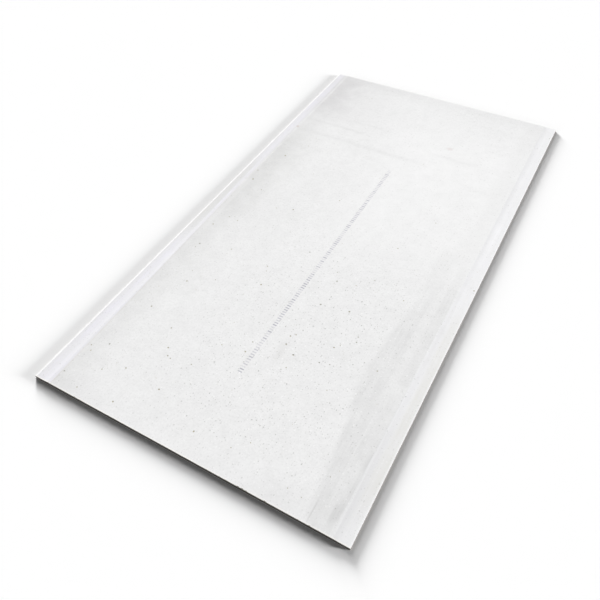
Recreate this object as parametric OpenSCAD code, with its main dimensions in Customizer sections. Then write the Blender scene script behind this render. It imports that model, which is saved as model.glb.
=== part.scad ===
// Cement board: one flat fibre-cement sheet that lies face up.
// Both long edges are recessed on the face side, so that jointing tape and
// compound finish flush with the face. The short ends are sawn square.

/* [Sheet] */
// Width of the sheet, from one recessed edge to the other
sheet_w = 1200; // [300:5:1500]
// Length of the sheet, along the recessed edges
sheet_l = 2400; // [300:5:3600]
// Thickness of the sheet between its face and its back
sheet_t = 12; // [6:0.5:25]

/* [Recessed edges] */
// Depth of the recess below the face
recess_depth = 1.5; // [0.5:0.1:3]
// Width of the flat land that the jointing tape lies on
land_w = 27; // [10:1:60]
// Width of the hollow ramp that rises from the land to the face
ramp_w = 28; // [10:1:60]

/* [Arrises] */
// Radius that eases the two arrises of each long edge
arris_r = 1; // [0.2:0.1:1.4]

/* [Hidden] */
// The ramp is an arc that leaves the land level and is steepest where it meets the face
ramp_r = (pow(ramp_w, 2) + pow(recess_depth, 2)) / (2 * recess_depth);
// How far a cut runs past the surface that it opens
overcut = 1;
ramp_facets = 720;
arris_facets = 48;
cement_colour = [0.93, 0.93, 0.925];

// Outline of what the press former takes out of the face at one long edge.
// The origin is the top corner of the blank, with the sheet on the +X side.
module recess_former() {
    translate([-overcut, -recess_depth])
        square([overcut + land_w, recess_depth + overcut]);
    translate([land_w, -recess_depth])
        intersection() {
            square([ramp_w + overcut, recess_depth + overcut]);
            translate([0, ramp_r]) circle(r = ramp_r, $fn = ramp_facets);
        }
}

// Outline of what is lost at a square corner when its arris is eased.
// The origin is the corner, with the sheet in the +X, +Y quarter.
module arris_loss() {
    difference() {
        translate([-overcut, -overcut]) square(overcut + arris_r);
        translate([arris_r, arris_r]) circle(r = arris_r, $fn = arris_facets);
    }
}

// Everything that is cut from one long edge of the blank's section
module long_edge_cuts() {
    translate([-sheet_w / 2, sheet_t]) recess_former();
    translate([-sheet_w / 2, sheet_t - recess_depth]) mirror([0, 1]) arris_loss();
    translate([-sheet_w / 2, 0]) arris_loss();
}

// Section across the sheet, with its width along X and its thickness along Y
module sheet_section() {
    difference() {
        translate([-sheet_w / 2, 0]) square([sheet_w, sheet_t]);
        long_edge_cuts();
        mirror([1, 0]) long_edge_cuts();
    }
}

// The sheet: its section run along the length, with the back on the floor
module cement_board() {
    color(cement_colour)
        translate([0, sheet_l / 2, 0])
            rotate([90, 0, 0])
                linear_extrude(height = sheet_l) sheet_section();
}

cement_board();
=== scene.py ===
import math
import random

import bmesh
import bpy
from mathutils import Matrix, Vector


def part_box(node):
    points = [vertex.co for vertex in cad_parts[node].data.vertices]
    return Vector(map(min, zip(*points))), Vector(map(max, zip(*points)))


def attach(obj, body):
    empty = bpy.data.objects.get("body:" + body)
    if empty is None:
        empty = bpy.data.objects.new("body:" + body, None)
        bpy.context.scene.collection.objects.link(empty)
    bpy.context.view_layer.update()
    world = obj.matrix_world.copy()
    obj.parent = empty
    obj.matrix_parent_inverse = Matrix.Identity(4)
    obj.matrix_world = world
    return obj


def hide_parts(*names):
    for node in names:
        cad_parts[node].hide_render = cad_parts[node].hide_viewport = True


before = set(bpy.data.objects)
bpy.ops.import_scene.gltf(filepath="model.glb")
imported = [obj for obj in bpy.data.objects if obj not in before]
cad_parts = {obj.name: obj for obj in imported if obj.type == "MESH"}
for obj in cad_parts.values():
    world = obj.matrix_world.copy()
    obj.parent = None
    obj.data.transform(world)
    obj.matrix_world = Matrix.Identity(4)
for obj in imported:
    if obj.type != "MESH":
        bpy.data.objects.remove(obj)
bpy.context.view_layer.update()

# The sheet: fibre cement laid up wet in thin films, pressed between a smooth plate and a felt,
# cured in steam and sawn to size. Raised borders on the plate leave a recess along both long
# edges of the face, a flat land with a hollow ramp up to the face, for jointing tape.
MM = 0.001
low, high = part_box("cement_board")
half_w = (high.x - low.x) / 2
half_l = (high.y - low.y) / 2
face_z = high.z
back_z = low.z
middle_z = (face_z + back_z) / 2
recess_depth = 1.5 * MM
land_w = 27 * MM
ramp_w = 28 * MM
ramp_r = (ramp_w ** 2 + recess_depth ** 2) / (2 * recess_depth)
ramp_rows = 8
moulded_arris = 1 * MM
sawn_arris = 0.4 * MM
hair = 0.01 * MM  # what lies closer to a line than this is on it

bpy.ops.object.select_all(action="DESELECT")
bpy.ops.mesh.primitive_cube_add(size=1, location=(low + high) / 2, scale=high - low)
sheet = bpy.context.object
sheet.name = "fibre_cement_sheet"
bpy.ops.object.transform_apply(location=True, rotation=True, scale=True)
bpy.ops.object.mode_set(mode="EDIT")


def pick(part, test):
    """Select the sheet's verts, edges or faces that pass a test, and nothing else."""
    bpy.ops.mesh.select_mode(type={"verts": "VERT", "edges": "EDGE", "faces": "FACE"}[part])
    bpy.ops.mesh.select_all(action="DESELECT")
    mesh = bmesh.from_edit_mesh(sheet.data)
    for element in getattr(mesh, part):
        if test(element):
            element.select_set(True)
    mesh.select_flush_mode()
    bmesh.update_edit_mesh(sheet.data)


def score(point, direction):
    """Score a straight line right round the sheet, through a point and square to a direction."""
    bpy.ops.mesh.select_all(action="SELECT")
    bpy.ops.mesh.bisect(plane_co=point, plane_no=direction)


def face_drop(inset):
    """How far the face lies below its highest level, at a distance from the nearer long edge."""
    if inset >= land_w + ramp_w:
        return 0
    climbed = max(inset - land_w, 0)
    return recess_depth - (ramp_r - math.sqrt(ramp_r ** 2 - climbed ** 2))


insets = [land_w + ramp_w * row / ramp_rows for row in range(ramp_rows + 1)]
for inset in insets:
    for side in (-1, 1):
        score((side * (half_w - inset), 0, 0), (1, 0, 0))
for inset in [0] + insets:
    pick("verts", lambda v: abs(half_w - abs(v.co.x) - inset) < hair and v.co.z > middle_z)
    bpy.ops.transform.translate(value=(0, 0, -face_drop(inset)))


def is_long_arris(edge):
    """True on the four corner lines that run the length of the sheet."""
    run = abs(edge.verts[0].co.y - edge.verts[1].co.y)
    return run > half_l and all(half_w - abs(v.co.x) < hair for v in edge.verts)


def is_sawn_arris(edge):
    """True on the lines where a sawn end meets the face, the back or a long edge."""
    faces_endwise = 0.9
    ends = [abs(face.normal.y) > faces_endwise for face in edge.link_faces]
    return any(ends) and not all(ends)


pick("edges", is_long_arris)
bpy.ops.mesh.bevel(offset=moulded_arris, segments=4, affect="EDGES")
pick("edges", is_sawn_arris)
bpy.ops.mesh.bevel(offset=sawn_arris, segments=2, affect="EDGES")

# A net of scores over the whole sheet, so that no face is long and thin where a pit is cut
net_spacing = 100 * MM
net_across = round(half_w / net_spacing)
net_along = round(half_l / net_spacing)
for row in range(1 - net_across, net_across):
    score((row * net_spacing, 0, 0), (1, 0, 0))
for row in range(1 - net_along, net_along):
    score((0, row * net_spacing, 0), (0, 1, 0))

# The three skins of the sheet: the plate-smooth face with its recesses, the sawn or trimmed
# edges all round, and the felt-marked back. Each gets its own finish further down.
face_finish = bpy.data.materials.new("pressed fibre cement face")
edge_finish = bpy.data.materials.new("sawn fibre cement edge")
back_finish = bpy.data.materials.new("felt marked fibre cement back")
faces_up = 0.5  # upright part of the normal, from 1 straight up to -1 straight down
faces_down = -0.99
skins = [
    (face_finish, lambda face: face.normal.z > faces_up),
    (edge_finish, lambda face: faces_down <= face.normal.z <= faces_up),
    (back_finish, lambda face: face.normal.z < faces_down),
]
for index, (finish, test) in enumerate(skins):
    sheet.data.materials.append(finish)
    pick("faces", test)
    sheet.active_material_index = index
    bpy.ops.object.material_slot_assign()
bpy.ops.object.mode_set(mode="OBJECT")

# Pits and chips: air bubbles that opened at the face, and flakes that the saw and handling broke
# off the arrises. Each is cut with a lumpy pebble, so that it is a real hollow with a torn wall.
broken_finish = bpy.data.materials.new("broken fibre cement")
scatter_seed = 12
draw = random.Random(scatter_seed)

bpy.ops.object.select_all(action="DESELECT")
bpy.ops.mesh.primitive_ico_sphere_add(subdivisions=2, radius=0.5)
pebble = bpy.context.object
pebble.data.materials.append(broken_finish)
bpy.ops.object.mode_set(mode="EDIT")
bpy.ops.mesh.select_all(action="SELECT")
bpy.ops.transform.vertex_random(offset=0.07, seed=3)
bpy.ops.object.mode_set(mode="OBJECT")


def lay_pebble(place, size, turn):
    """Lay a copy of the pebble at a place, stretched to a size and turned about the upright."""
    copy = pebble.copy()
    copy.data = pebble.data.copy()
    copy.location = place
    copy.scale = size
    copy.rotation_euler.z = turn
    bpy.context.collection.objects.link(copy)
    return copy


def cut_away(pebbles, name):
    """Join the pebbles into one cutter and take it out of the sheet."""
    bpy.ops.object.select_all(action="DESELECT")
    for one in pebbles:
        one.select_set(True)
    bpy.context.view_layer.objects.active = pebbles[0]
    bpy.ops.object.join()
    bpy.ops.object.transform_apply(location=True, rotation=True, scale=True)
    cutter = bpy.context.object
    bpy.ops.object.select_all(action="DESELECT")
    sheet.select_set(True)
    bpy.context.view_layer.objects.active = sheet
    cut = sheet.modifiers.new(name, "BOOLEAN")
    cut.operation = "DIFFERENCE"
    cut.solver = "EXACT"
    cut.material_mode = "TRANSFER"
    cut.object = cutter
    bpy.ops.object.modifier_apply(modifier=name)
    bpy.data.objects.remove(cutter)


# Pits that stand out, by place and width in millimetres
large_pits = [
    (-445, -745, 6), (-505, -1020, 5), (-520, -1000, 5), (-465, -965, 6), (-345, -1020, 6),
    (-190, -1035, 6), (-270, -875, 6), (-250, -905, 6), (-235, -910, 5), (-315, -795, 6),
    (-295, -1150, 6), (-525, -1135, 6), (-440, -1165, 5), (-415, -1065, 5), (-155, -895, 5),
    (-110, -965, 4), (-20, -705, 5), (-20, -755, 6), (5, -1110, 6), (-110, -770, 4),
    (85, -615, 6), (100, -600, 5), (90, -655, 7), (135, -685, 7), (230, -670, 6),
    (265, -660, 5), (245, -585, 6), (420, -605, 5), (140, -745, 5), (305, -760, 4),
    (185, -1055, 4), (360, -1130, 4), (455, -1035, 4), (410, -1135, 3), (140, -1100, 4),
    (-485, -365, 7), (-490, -390, 5), (-405, -570, 6), (-310, -510, 5), (-420, -510, 4),
    (-140, -445, 7), (-60, -190, 6), (-250, 15, 7), (-320, -10, 4), (-425, -165, 5),
    (-470, -160, 5), (-190, -120, 4), (-505, -235, 6), (-350, -330, 5), (-170, -345, 6),
    (-160, -370, 4), (110, -285, 7), (220, -405, 7), (110, -425, 7), (90, -240, 5),
    (235, -210, 4), (185, -270, 4), (375, -255, 5), (300, -500, 5), (305, -525, 6),
    (260, -565, 5), (590, -75, 6), (-480, 355, 8), (-520, 120, 8), (-535, 190, 6),
    (-100, 170, 5), (-445, 70, 5), (-420, 480, 5), (325, 230, 5), (245, 5, 5),
    (-330, 1040, 5), (-260, 1160, 5), (590, 1105, 5),
]
# Small ones lie anywhere clear of those, most of them on the near half
small_pits = 250
small_width = (1.2 * MM, 3 * MM)
pit_margin = 12 * MM
pit_stretch = (0.9, 1.25)
pit_depth = 0.12  # share of the width
depth_spread = (0.8, 1.2)
taken = [(x * MM, y * MM, width * MM) for x, y, width in large_pits]
while len(taken) < len(large_pits) + small_pits:
    x = draw.uniform(-half_w + pit_margin, half_w - pit_margin)
    y = draw.triangular(-half_l + pit_margin, half_l - pit_margin, -half_l / 2)
    width = draw.triangular(*small_width, small_width[0])
    if all(math.hypot(x - u, y - v) > width + w for u, v, w in taken):
        taken.append((x, y, width))
# Half of a pebble is above the face, so it is twice as tall as the pit is deep
pits = []
for x, y, width in taken:
    level = face_z - face_drop(half_w - abs(x))
    long_way = width * draw.uniform(*pit_stretch)
    deep = 2 * width * draw.uniform(*depth_spread) * pit_depth
    pits.append(lay_pebble((x, y, level), (width, long_way, deep), draw.uniform(0, math.pi)))
cut_away(pits, "pits")

# Chips on the near sawn arris, by distance along it and length in millimetres. Small nicks make up
# the number on both ends. Each reaches in and down by a share of its length.
near_chips = [
    (185, 6), (228, 9), (242, 12), (256, 8), (322, 10), (-540, 6), (-420, 7), (-150, 5), (470, 7),
]
chips_per_end = 26
shortest_nick = 2 * MM
longest_nick = 6 * MM
usual_nick = 3 * MM
chip_reach = (0.4, 0.7)
chip_depth = (0.3, 0.5)
chip_turn = (-0.3, 0.3)
chips = []
for end in (-1, 1):
    spots = [(x * MM, length * MM) for x, length in near_chips] if end < 0 else []
    while len(spots) < chips_per_end:
        x = draw.uniform(-half_w + pit_margin, half_w - pit_margin)
        length = draw.triangular(shortest_nick, longest_nick, usual_nick)
        if all(abs(x - u) > length + w for u, w in spots):
            spots.append((x, length))
    for x, length in spots:
        level = face_z - face_drop(half_w - abs(x))
        size = (length, length * draw.uniform(*chip_reach), length * draw.uniform(*chip_depth))
        chips.append(lay_pebble((x, end * half_l, level), size, draw.uniform(*chip_turn)))
cut_away(chips, "chips")
bpy.data.objects.remove(pebble)
gentle_bend = math.radians(4)
bpy.ops.object.shade_smooth_by_angle(angle=gentle_bend)


# Face: fibre cement pressed against a polished plate. It is matt and nearly white, clouded where
# the wet films dried unevenly, finely speckled by grit, and marked by water and yard dirt.
def linear(code):
    """Turn an sRGB hex code into the linear colour that a shader takes."""
    levels = [int(code[i:i + 2], 16) / 255 for i in (1, 3, 5)]
    return [v / 12.92 if v <= 0.04045 else ((v + 0.055) / 1.055) ** 2.4 for v in levels] + [1]


def add_node(tree, kind, inputs=(), **settings):
    """Add a node with its settings, and give each listed input its value or its link."""
    node = tree.nodes.new(kind)
    for name, value in settings.items():
        setattr(node, name, value)
    for name, value in dict(inputs).items():
        if isinstance(value, bpy.types.NodeSocket):
            tree.links.new(value, node.inputs[name])
        else:
            node.inputs[name].default_value = value
    return node


def open_finish(finish):
    """Start a finish: its node tree, its shader, and the place on the sheet for its patterns."""
    finish.use_nodes = True
    tree = finish.node_tree
    place = add_node(tree, "ShaderNodeTexCoord").outputs["Object"]
    return tree, tree.nodes["Principled BSDF"], place


def lay_on(tree, colour, hue, strength, *masks):
    """Lay a tint over a colour, as strong as a number times its masks."""
    amount = strength
    for mask in masks:
        amount = add_node(
            tree, "ShaderNodeMath", {0: mask, 1: amount}, operation="MULTIPLY", use_clamp=True).outputs[0]
    # A colour mix has its factor at input 0, its colours at 6 and 7, and its result at output 2
    mixed = add_node(tree, "ShaderNodeMix", {0: amount, 6: colour, 7: linear(hue)}, data_type="RGBA")
    return mixed.outputs[2]


def soft_patch(tree, across, along, x_span, y_span, x_soft, y_soft):
    """A mask that is 1 inside a rectangle, in millimetres, and fades away across its soft border."""
    mask = 1
    for value, span, soft in ((across, x_span, x_soft), (along, y_span, y_soft)):
        for border, inside in ((span[0], soft), (span[1], -soft)):
            limits = {"From Min": (border - inside) * MM, "From Max": (border + inside) * MM}
            fade = add_node(
                tree, "ShaderNodeMapRange", {"Value": value, **limits}, interpolation_type="SMOOTHSTEP")
            mask = add_node(
                tree, "ShaderNodeMath", {0: fade.outputs[0], 1: mask}, operation="MULTIPLY").outputs[0]
    return mask


def blotches(tree, place, width, detail, levels, amounts=(0, 1)):
    """A mask of blotches about as wide as given, in millimetres, which goes from one amount to
    another as the noise goes from one level to another."""
    noise = add_node(
        tree, "ShaderNodeTexNoise", {"Vector": place, "Scale": 1 / (width * MM), "Detail": detail})
    limits = {"From Min": levels[0], "From Max": levels[1], "To Min": amounts[0], "To Max": amounts[1]}
    return add_node(tree, "ShaderNodeMapRange", {"Value": noise.outputs[0], **limits}).outputs[0]


def push_about(tree, place, width, reach):
    """A place that wanders by up to half a reach each way, in bends of a width, in millimetres."""
    drift = add_node(tree, "ShaderNodeTexNoise", {"Vector": place, "Scale": 1 / (width * MM), "Detail": 4})
    middle = (0.5, 0.5, 0.5)
    offset = add_node(
        tree, "ShaderNodeVectorMath", {0: drift.outputs["Color"], 1: middle}, operation="SUBTRACT")
    pushed = add_node(
        tree, "ShaderNodeVectorMath", {0: offset.outputs[0], 1: (reach * MM,) * 3, 2: place},
        operation="MULTIPLY_ADD")
    return pushed.outputs[0]


tree, skin, place = open_finish(face_finish)
straight = add_node(tree, "ShaderNodeSeparateXYZ", {0: place}).outputs

# Clouding from a forearm's length down to grit: width in millimetres, detail, strength and tint
clouds = [
    (420, 2, 0.30, "#f5f5f5"),
    (95, 3, 0.20, "#e4e4e4"),
    (24, 3, 0.16, "#dadada"),
    (7, 2, 0.20, "#cecece"),
]
cloud_levels = (0.4, 0.7)
colour = linear("#f0f0f0")
for width, detail, strength, hue in clouds:
    colour = lay_on(tree, colour, hue, strength, blotches(tree, place, width, detail, cloud_levels))

# Water marks, dirt and painted light have wandering borders, so they lie on a place that is pushed about a
# little.
# Each has its span across and along in millimetres, how far it fades, its strength and its tint.
wavy = add_node(tree, "ShaderNodeSeparateXYZ", {0: push_about(tree, place, width=110, reach=22)}).outputs
uneven = blotches(tree, place, width=60, detail=3, levels=(0.3, 0.7), amounts=(0.6, 1.15))
marks = [
    # The first two are painted light: the face is drawn brighter towards the far right, where the light
    # fell brighter.
    ((-60, 700), (-60, 960), 160, 220, 0.42, "#fafafa"),
    ((60, 470), (480, 760), 130, 120, 0.12, "#f9f9f9"),
    ((-660, -470), (-1300, 1300), 80, 100, 0.44, "#d2d2d1"),
    ((-660, -410), (-180, 560), 100, 160, 0.40, "#d2d2d1"),
    ((-470, -350), (-620, -260), 50, 90, 0.12, "#d2d2d1"),
    ((-380, -220), (-250, 330), 70, 120, 0.10, "#d6d6d6"),
    ((-660, -440), (830, 1300), 70, 130, 0.43, "#cccacb"),
    ((-700, -300), (740, 1300), 180, 150, 0.42, "#d4d3d4"),
    ((-700, 700), (1140, 1300), 10, 70, 0.24, "#d8d8d8"),
    ((-520, -120), (1120, 1300), 90, 60, 0.14, "#d2d2d2"),
    ((-540, -235), (699, 713), 40, 11, 0.36, "#d4d4d4"),
    ((135, 340), (699, 713), 40, 11, 0.20, "#d8d8d8"),
    ((-535, 115), (590, 612), 45, 16, 0.27, "#d6d6d6"),
    ((-330, -120), (777, 791), 40, 12, 0.18, "#d6d6d6"),
    ((470, 548), (60, 1190), 25, 90, 0.13, "#d9d9d9"),
    ((280, 470), (-1300, -1130), 70, 45, 0.25, "#d6d6d6"),
    ((-560, -330), (-1300, -1130), 70, 45, 0.20, "#d6d6d6"),
    ((76, 98), (-745, -640), 12, 25, 0.16, "#c4c3c0"),
    ((410, 480), (-160, 80), 14, 50, 0.14, "#d2d2d2"),
    ((500, 535), (-112, 20), 8, 30, 0.14, "#d2d2d2"),
    ((178, 204), (774, 794), 8, 8, 0.40, "#d8cdcb"),
    ((-556, -545), (606, 620), 4, 5, 0.75, "#b59c94"),
]
for x_span, y_span, x_soft, y_soft, strength, hue in marks:
    mask = soft_patch(tree, wavy["X"], wavy["Y"], x_span, y_span, x_soft, y_soft)
    colour = lay_on(tree, colour, hue, strength, mask, uneven)

# Damp stain beside the right recess: it dried in streaks that run with the sheet, and its inner
# border swings in and out. The border is given by the share of its run and by millimetres across.
stain_run = (-1200 * MM, 200 * MM)
stain_border = [(0, 456), (0.09, 434), (0.24, 416), (0.39, 384), (0.67, 412), (0.86, 437), (1, 450)]
stain_fade = (-12 * MM, 18 * MM)
streak_run = 0.06  # a streak is about seventeen times as long as it is wide
run = add_node(
    tree, "ShaderNodeMapRange",
    {"Value": straight["Y"], "From Min": stain_run[0], "From Max": stain_run[1]})
swing = add_node(tree, "ShaderNodeFloatCurve", {"Value": run.outputs[0]})
line = swing.mapping.curves[0]  # it has two points already
for index, (share, x) in enumerate(stain_border):
    if index < len(line.points):
        line.points[index].location = (share, x * MM)
    else:
        line.points.new(share, x * MM)
swing.mapping.update()
past = add_node(tree, "ShaderNodeMath", {0: wavy["X"], 1: swing.outputs[0]}, operation="SUBTRACT")
rise = add_node(
    tree, "ShaderNodeMapRange",
    {"Value": past.outputs[0], "From Min": stain_fade[0], "From Max": stain_fade[1]},
    interpolation_type="SMOOTHSTEP").outputs[0]
drawn_out = add_node(tree, "ShaderNodeMapping", {"Vector": place, "Scale": (1, streak_run, 1)})
streaks = blotches(
    tree, drawn_out.outputs[0], width=9, detail=3, levels=(0.3, 0.7), amounts=(0.55, 1.2))
bands = [
    ((300, 468), (-760, -230), 14, 140, 0.38, "#d2d2d2"),
    ((300, 541), (-1300, -760), 4, 140, 0.48, "#d2d2d2"),
    ((455, 541), (-760, -115), 14, 30, 0.13, "#d2d2d2"),
    ((502, 539), (-620, -112), 4, 6, 0.18, "#cccccc"),
    ((512, 541), (-1300, -900), 6, 120, 0.22, "#c8c8c8"),
    ((506, 534), (-1175, -1085), 6, 20, 0.20, "#bebebe"),
]
for x_span, y_span, x_soft, y_soft, strength, hue in bands:
    mask = soft_patch(tree, straight["X"], wavy["Y"], x_span, y_span, x_soft, y_soft)
    colour = lay_on(tree, colour, hue, strength, mask, rise, uneven, streaks)
scratches = [
    ((455, 459), (-1215, -1125), 2, 30, 0.20, "#a3a2a0"),
    ((538, 542), (-1172, -610), 2, 60, 0.22, "#a3a2a0"),
]
for x_span, y_span, x_soft, y_soft, strength, hue in scratches:
    mask = soft_patch(tree, straight["X"], straight["Y"], x_span, y_span, x_soft, y_soft)
    colour = lay_on(tree, colour, hue, strength, mask, streaks)

# The plate's borders leave the recesses a little bluer than the face, and the lands are greyed by
# handling. The bluish strips close in on the long edges towards the far end.
left_narrowing = 0.013
right_narrowing = 0.004
left_x = add_node(
    tree, "ShaderNodeMath", {0: straight["Y"], 1: left_narrowing, 2: straight["X"]},
    operation="MULTIPLY_ADD").outputs[0]
right_x = add_node(
    tree, "ShaderNodeMath", {0: straight["Y"], 1: -right_narrowing, 2: straight["X"]},
    operation="MULTIPLY_ADD").outputs[0]
strips = [
    (left_x, (-660, -549), (-1300, 1300), 3, 10, 0.85, "#eae9ef"),
    (straight["X"], (-660, -585), (-1300, 650), 5, 150, 0.42, "#dededd"),
    (left_x, (-660, -566), (-330, 250), 4, 90, 0.58, "#d8d8d3"),
    (left_x, (-549, -543), (-1300, 500), 2, 200, 0.18, "#d6cfca"),
    (left_x, (-557, -545), (-420, 430), 3, 100, 0.45, "#d2d1d3"),
    (left_x, (-545, -522), (-260, 100), 6, 60, 0.25, "#f8f8f8"),
    (left_x, (-555, -540), (430, 1300), 4, 60, 0.55, "#d2d1d3"),
    (left_x, (-660, -549), (650, 1300), 3, 250, 0.26, "#dbdae0"),
    (right_x, (542, 660), (-1300, 1300), 3, 10, 0.85, "#f0f0f2"),
    (right_x, (542, 660), (-1300, -780), 3, 330, 0.50, "#e0e0e0"),
    (right_x, (566, 660), (-1050, -250), 8, 120, 0.42, "#e0dfd8"),
    # Painted highlight: the next three make the right ramp lighter, on top of its own whiter tone, to
    # cancel the shade the lamps leave on it
    (right_x, (544, 572), (-900, 1300), 5, 250, 0.38, "#f9f9fa"),
    (right_x, (546, 566), (-280, 120), 4, 80, 0.35, "#fdfdff"),
    (right_x, (550, 578), (120, 400), 4, 80, 0.42, "#fdfdff"),
]
for across, x_span, y_span, x_soft, y_soft, strength, hue in strips:
    mask = soft_patch(tree, across, straight["Y"], x_span, y_span, x_soft, y_soft)
    colour = lay_on(tree, colour, hue, strength, mask, uneven, streaks)

# Painted highlights: along its four borders the face is drawn paler, in thin frayed lines, where the
# arrises catch the light
highlight_fade = 1
ragged = push_about(tree, place, width=4, reach=6)
frayed = add_node(tree, "ShaderNodeSeparateXYZ", {0: ragged}).outputs
arris_highlights = [
    ((-620, -594), (-1300, 1300), 0.95, "#fdfdfd"),
    ((595, 620), (-1300, 1300), 0.60, "#fbfbfb"),
    ((-620, 620), (1192, 1300), 0.40, "#fbfbfb"),
    ((-620, 620), (-1300, -1194), 0.50, "#fcf9f4"),
]
for x_span, y_span, strength, hue in arris_highlights:
    mask = soft_patch(tree, frayed["X"], frayed["Y"], x_span, y_span, highlight_fade, highlight_fade)
    colour = lay_on(tree, colour, hue, strength, mask)

# Pale grains, then grit and pin holes too small to cut: dots in some of the cells of a loose net,
# by the width of a cell in millimetres, the dots' largest share of it, strength and tint. They
# crowd in one part of the face, and are fainter in the rest.
outside_crowd = 0.4
crowd = soft_patch(
    tree, straight["X"], straight["Y"],
    x_span=(-150, 430), y_span=(-1050, -200), x_soft=200, y_soft=250)
crowded = add_node(
    tree, "ShaderNodeMapRange", {"Value": crowd, "To Min": outside_crowd, "To Max": 1}).outputs[0]
bare_cells = 0.55  # share of the cells
smallest_dot = -0.05  # a share below nothing leaves a few more cells bare
dots = [
    (11, 0.26, 0.80, "#ffffff"),
    (8, 0.28, 0.54, "#a0a09c"),
    (16, 0.20, 0.58, "#8f8e89"),
    (45, 0.08, 0.46, "#868580"),
]
for cell, largest_dot, strength, hue in dots:
    net = add_node(
        tree, "ShaderNodeTexVoronoi", {"Vector": ragged, "Scale": 1 / (cell * MM)}, voronoi_dimensions="2D")
    chance = add_node(tree, "ShaderNodeSeparateColor", {0: net.outputs["Color"]})
    sizes = {"From Min": bare_cells, "From Max": 1, "To Min": smallest_dot, "To Max": largest_dot}
    radius = add_node(tree, "ShaderNodeMapRange", {"Value": chance.outputs[0], **sizes})
    inside = add_node(
        tree, "ShaderNodeMath", {0: radius.outputs[0], 1: net.outputs["Distance"]}, operation="SUBTRACT")
    mask = add_node(tree, "ShaderNodeMapRange", {"Value": inside.outputs[0], "From Max": largest_dot / 2})
    colour = lay_on(tree, colour, hue, strength, mask.outputs[0], crowded)

# Guide marks jetted in grey ink along the middle: plain ticks at an even pitch, some of them faint
tick_pitch = 12 * MM
tick_share = 0.42
faintest_tick = 0.25
tick_x = (1, 17)
tick_y = (-846, 483)
ink_strength = 0.65
count = add_node(tree, "ShaderNodeMath", {0: straight["Y"], 1: tick_pitch}, operation="DIVIDE")
within = add_node(tree, "ShaderNodeMath", {0: count.outputs[0]}, operation="FRACT")
tick = add_node(tree, "ShaderNodeMath", {0: within.outputs[0], 1: tick_share}, operation="LESS_THAN")
number = add_node(tree, "ShaderNodeMath", {0: count.outputs[0]}, operation="FLOOR")
chance = add_node(tree, "ShaderNodeTexWhiteNoise", {"W": number.outputs[0]}, noise_dimensions="1D")
ink = add_node(
    tree, "ShaderNodeMapRange", {"Value": chance.outputs["Value"], "To Min": faintest_tick, "To Max": 1})
tick_row = soft_patch(tree, straight["X"], straight["Y"], tick_x, tick_y, x_soft=0.5, y_soft=1)
colour = lay_on(tree, colour, "#87849a", ink_strength, tick_row, tick.outputs[0], ink.outputs[0])
tree.links.new(colour, skin.inputs["Base Color"])

grain_width = 3 * MM
grain_depth = 0.1 * MM
grain = add_node(tree, "ShaderNodeTexNoise", {"Vector": place, "Scale": 1 / grain_width, "Detail": 4})
relief = add_node(
    tree, "ShaderNodeBump", {"Height": grain.outputs[0], "Strength": 0.12, "Distance": grain_depth})
tree.links.new(relief.outputs[0], skin.inputs["Normal"])
skin.inputs["Roughness"].default_value = 0.9
skin.inputs["IOR"].default_value = 1.5
skin.inputs["Specular IOR Level"].default_value = 0.1

# Edges: the saw lays open the pressed films, which show as fine level layers of a warm grey, made darker
# than bare cement as painted shade.
# The saw's teeth leave upright lines across them, in colour and in relief.
film = 1.4 * MM
film_run = 0.02  # a film is fifty times as long as it is thick
saw_line = 5 * MM
saw_run = 0.1  # a saw line is ten times as tall as it is wide
saw_depth = 0.3 * MM
layer_levels = (0.42, 0.68)
tree, skin, place = open_finish(edge_finish)
level_run = add_node(tree, "ShaderNodeMapping", {"Vector": place, "Scale": (film_run, film_run, 1)})
films = add_node(
    tree, "ShaderNodeTexNoise", {"Vector": level_run.outputs[0], "Scale": 1 / film, "Detail": 3})
upright = add_node(tree, "ShaderNodeMapping", {"Vector": place, "Scale": (1, 1, saw_run)})
lines = add_node(
    tree, "ShaderNodeTexNoise", {"Vector": upright.outputs[0], "Scale": 1 / saw_line, "Detail": 4})
# Painted shade in part: this grey is darker than sawn cement is, so that the near end reads as dark as it
# does in its shade
colour = linear("#68625d")
for noise, strength, hue in ((films, 0.6, "#534e49"), (lines, 0.3, "#807a74")):
    mask = add_node(
        tree, "ShaderNodeMapRange",
        {"Value": noise.outputs[0], "From Min": layer_levels[0], "From Max": layer_levels[1]})
    colour = lay_on(tree, colour, hue, strength, mask.outputs[0])
tree.links.new(colour, skin.inputs["Base Color"])
relief = add_node(
    tree, "ShaderNodeBump", {"Height": lines.outputs[0], "Strength": 0.5, "Distance": saw_depth})
tree.links.new(relief.outputs[0], skin.inputs["Normal"])
skin.inputs["Roughness"].default_value = 0.95

# Back: the forming felt leaves a faint weave in the cement, greyer and rougher than the face. Its
# threads lie 2 to 3 mm apart, too fine to show here, so they are drawn 8 mm apart.
thread = 8 * MM
thread_depth = 0.3 * MM
back_detail = 3
back_clouds = [
    (300, 0.5, "#c9c7c2"),
    (40, 0.4, "#cfcdc8"),
    (6, 0.4, "#c0beb8"),
]
tree, skin, place = open_finish(back_finish)
colour = linear("#d9d8d4")
for width, strength, hue in back_clouds:
    colour = lay_on(tree, colour, hue, strength, blotches(tree, place, width, back_detail, cloud_levels))
tree.links.new(colour, skin.inputs["Base Color"])
wave_scale = math.pi / (10 * thread)  # the bands of a wave lie pi / (10 * scale) apart
limp = push_about(tree, place, width=30, reach=3)
warp, weft = [
    add_node(tree, "ShaderNodeTexWave", {"Vector": limp, "Scale": wave_scale}, bands_direction=way)
    for way in ("X", "Y")
]
weave = add_node(
    tree, "ShaderNodeMath", {0: warp.outputs["Fac"], 1: weft.outputs["Fac"]}, operation="MULTIPLY")
relief = add_node(
    tree, "ShaderNodeBump", {"Height": weave.outputs[0], "Strength": 0.4, "Distance": thread_depth})
tree.links.new(relief.outputs[0], skin.inputs["Normal"])
skin.inputs["Roughness"].default_value = 0.95

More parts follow.
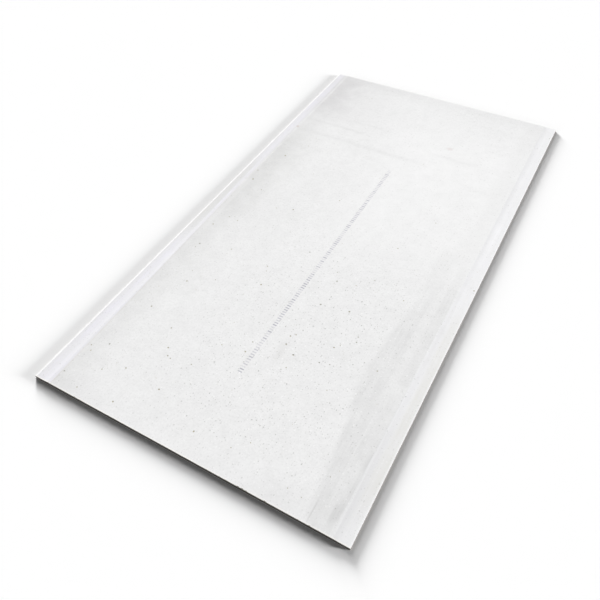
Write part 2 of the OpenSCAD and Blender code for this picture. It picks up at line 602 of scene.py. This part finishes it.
# Broken cement: the torn walls of the pits and chips. They are rough and hold dust, so that some
# are grey and others olive brown, from one part of the sheet to the next.
tree, skin, place = open_finish(broken_finish)
dusty = blotches(tree, place, width=70, detail=1, levels=(0.4, 0.6))
colour = lay_on(tree, linear("#bab8b0"), "#bbb49f", 1, dusty)
tree.links.new(colour, skin.inputs["Base Color"])
skin.inputs["Roughness"].default_value = 1

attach(sheet, "root")
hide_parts("cement_board")

# Floor: a plain matt white sweep that the sheet lies on. It shows white to the camera, and throws
# back less light than that, so that the edges of the sheet stay in shade.
floor_size = 40  # metres
bpy.ops.mesh.primitive_plane_add(size=floor_size, location=(0, 0, back_z))
floor = bpy.context.object
floor.name = "floor"


def seen_directly(tree):
    """A mask that is 1 for the camera's own view, also by way of a mirror or a pane of glass."""
    ray = add_node(tree, "ShaderNodeLightPath").outputs
    seen = ray["Is Camera Ray"]
    for way in ("Is Glossy Ray", "Is Transmission Ray"):
        seen = add_node(tree, "ShaderNodeMath", {0: seen, 1: ray[way]}, operation="MAXIMUM").outputs[0]
    return seen


floor_finish = bpy.data.materials.new("matt white studio floor")
floor_finish.use_nodes = True
tree = floor_finish.node_tree
skin = tree.nodes["Principled BSDF"]
colour = lay_on(tree, linear("#c8c8c8"), "#ffffff", 1, seen_directly(tree))
tree.links.new(colour, skin.inputs["Base Color"])
skin.inputs["Roughness"].default_value = 1
skin.inputs["Specular IOR Level"].default_value = 0
floor.data.materials.append(floor_finish)

# Light: broad low lamps and an even pale surround, which together give a level surface the
# brightness that its colour is written with. Two lamps stand beyond the far end to the left, one
# off to the right, and a weak one at the near end.
surround = 0.04
# Bearing left of the far end, height and spread in degrees, and share of the light. A lamp of
# strength pi, square on to a surface, would be all of it.
lamps = [
    (45, 9, 12, 0.43),
    (45, 20, 38, 0.25),
    (-70, 8, 10, 0.24),
    (160, 12, 14, 0.04),
]
for bearing, height, spread, share in lamps:
    bpy.ops.object.light_add(type="SUN")
    lamp = bpy.context.object
    lamp.data.angle = math.radians(spread)
    lamp.data.energy = math.pi * share / math.sin(math.radians(height))
    lamp.matrix_world = (
        Matrix.Rotation(math.radians(bearing), 4, "Z") @ Matrix.Rotation(math.radians(height - 90), 4, "X"))
world = bpy.data.worlds.new("pale surround")
bpy.context.scene.world = world
world.use_nodes = True
tree = world.node_tree
glow = tree.nodes["Background"].inputs
level = add_node(
    tree, "ShaderNodeMapRange", {"Value": seen_directly(tree), "To Min": surround, "To Max": 1})
glow["Color"].default_value = (1, 1, 1, 1)
tree.links.new(level.outputs[0], glow["Strength"])

# Camera: held above the near right of the sheet, looking down along it. Its place is in metres, and
# its focal length and shift are in pixels of a square picture.
picture_px = 600
focal_px = 623.9
shift_px = 28
camera_place = (0.7695, -1.8664, 1.7644)
turn_left = math.radians(31.22)
look_down = math.radians(47.53)
tilt = math.radians(-1.51)
bpy.ops.object.camera_add()
camera = bpy.context.object
camera.data.sensor_width = 36
camera.data.lens = camera.data.sensor_width * focal_px / picture_px
camera.data.shift_x = shift_px / picture_px
camera.matrix_world = (
    Matrix.Translation(camera_place)
    @ Matrix.Rotation(turn_left, 4, "Z")
    @ Matrix.Rotation(math.pi / 2 - look_down, 4, "X")
    @ Matrix.Rotation(tilt, 4, "Z")
)
bpy.context.scene.camera = camera
bpy.context.scene.view_settings.view_transform = "Standard"
